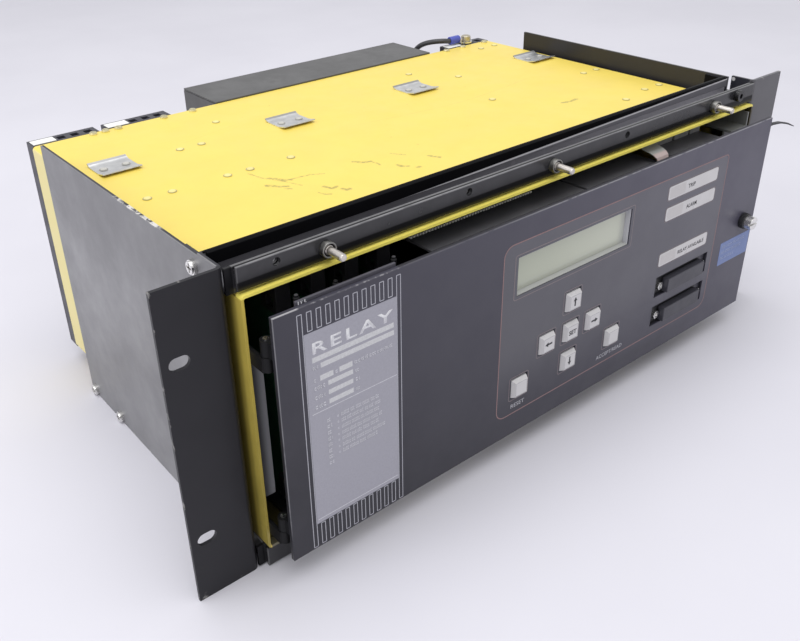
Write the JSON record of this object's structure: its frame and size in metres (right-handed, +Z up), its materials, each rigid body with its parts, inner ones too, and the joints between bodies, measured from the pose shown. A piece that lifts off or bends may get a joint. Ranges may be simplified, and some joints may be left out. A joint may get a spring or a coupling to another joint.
{
  "type": "protection relay",
  "caption": "Rack-mounted protection relay: folded sleeve between eared side plates, hinged front panel with display and keys, rear terminal blocks and rear box.",
  "frame": {"origin": "centre of the four rack-ear slots, in the front plane of the ears", "axes": "+X to the right seen from the front, +Y to the rear, +Z up"},
  "size_m": [0.4826, 0.3301, 0.177],
  "materials": {
    "yellow_paint": "satin powder coat",
    "charcoal_paint": "fine textured powder coat",
    "black_paint": "satin paint",
    "panel_paint": "fine textured paint with light print",
    "bright_steel": "bright plated",
    "spring_steel": "worn bright strip",
    "brass_plated": "passivated yellow plating",
    "black_plastic": "moulded",
    "black_rubber": "matt",
    "grey_plastic": "moulded",
    "key_plastic": "moulded light grey",
    "white_label": "printed marker",
    "lens_grey": "printed window",
    "lcd_glass": "grey-green display",
    "lcd_bezel": "folded tin frame",
    "board_green": "solder resist",
    "zinc_sheet": "light grey paint",
    "module_paint": "dark glossy front",
    "box_paint": "grey paint",
    "core_varnish": "varnished laminations and winding",
    "blue_sleeve": "crimp sleeve",
    "cable_sheath": "dark sheath"
  },
  "bodies": {
    "case": {"case_sleeve": "yellow_paint", "side_plate_left": "charcoal_paint", "side_plate_right": "charcoal_paint", "top_front_rail": "black_paint", "bottom_front_rail": "black_paint", "stud_strip": "black_paint", "bottom_strip": "black_paint", "rail_seal": "black_rubber", "base_angles": "black_paint", "cover_studs": "bright_steel", "stud_nuts": "bright_steel", "frame_screws": "bright_steel", "case_rivets": "brass_plated", "spring_clips": "spring_steel", "rear_panel": "yellow_paint", "terminal_blocks": "black_plastic", "terminal_screws": "brass_plated", "terminal_markers": "white_label", "rear_box": "box_paint", "rear_box_lid": "box_paint", "rear_screws": "brass_plated", "earth_bolt": "brass_plated", "ring_terminal": "bright_steel", "earth_sleeve": "blue_sleeve", "earth_cable": "cable_sheath", "hinge_brackets": "black_paint", "hinge_pins": "bright_steel", "latch_bracket": "black_paint", "backplane": "board_green", "card_guides": "black_plastic", "supply_module": "zinc_sheet", "module_boards": "board_green", "board_handles": "black_plastic", "processor_module": "module_paint", "output_module": "module_paint", "input_module": "module_paint", "input_transformers": "core_varnish"},
    "panel": {"front_panel": "panel_paint", "panel_hinge_lugs": "black_paint", "label_carrier": "panel_paint", "lcd_module": "lcd_bezel", "lcd_window": "lcd_glass", "indicator_windows": "lens_grey", "display_board": "board_green", "board_components": "black_plastic", "board_standoffs": "bright_steel", "serial_connectors": "black_plastic", "connector_covers": "grey_plastic", "jackscrews": "bright_steel", "harness_tie": "black_plastic"},
    "thumbscrew": {"thumb_knob": "black_plastic", "thumb_screw": "bright_steel"},
    "key_up_body": {"key_up": "key_plastic"},
    "key_down_body": {"key_down": "key_plastic"},
    "key_left_body": {"key_left": "key_plastic"},
    "key_right_body": {"key_right": "key_plastic"},
    "key_set_body": {"key_set": "key_plastic"},
    "key_accept_body": {"key_accept": "key_plastic"},
    "key_reset_body": {"key_reset": "key_plastic"}
  },
  "joints": [
    {"name": "panel_hinge", "type": "hinge", "parent": "case", "child": "panel", "pos_m": [-0.1974, -0.014, 0], "axis": [0, 0, -1], "range_deg": [0, 110]},
    {"name": "thumbscrew_turn", "type": "hinge", "parent": "panel", "child": "thumbscrew", "pos_m": [0.184, -0.022, -0.001], "axis": [0, 1, 0], "continuous": true},
    {"name": "key_up_press", "type": "slide", "parent": "panel", "child": "key_up_body", "axis": [0, 1, 0], "range_m": [0, 0.0015], "stiffness_N_per_m": 600, "springref_m": -0.001},
    {"name": "key_down_press", "type": "slide", "parent": "panel", "child": "key_down_body", "axis": [0, 1, 0], "range_m": [0, 0.0015], "stiffness_N_per_m": 600, "springref_m": -0.001},
    {"name": "key_left_press", "type": "slide", "parent": "panel", "child": "key_left_body", "axis": [0, 1, 0], "range_m": [0, 0.0015], "stiffness_N_per_m": 600, "springref_m": -0.001},
    {"name": "key_right_press", "type": "slide", "parent": "panel", "child": "key_right_body", "axis": [0, 1, 0], "range_m": [0, 0.0015], "stiffness_N_per_m": 600, "springref_m": -0.001},
    {"name": "key_set_press", "type": "slide", "parent": "panel", "child": "key_set_body", "axis": [0, 1, 0], "range_m": [0, 0.0015], "stiffness_N_per_m": 600, "springref_m": -0.001},
    {"name": "key_accept_press", "type": "slide", "parent": "panel", "child": "key_accept_body", "axis": [0, 1, 0], "range_m": [0, 0.0015], "stiffness_N_per_m": 600, "springref_m": -0.001},
    {"name": "key_reset_press", "type": "slide", "parent": "panel", "child": "key_reset_body", "axis": [0, 1, 0], "range_m": [0, 0.0015], "stiffness_N_per_m": 600, "springref_m": -0.001}
  ]
}
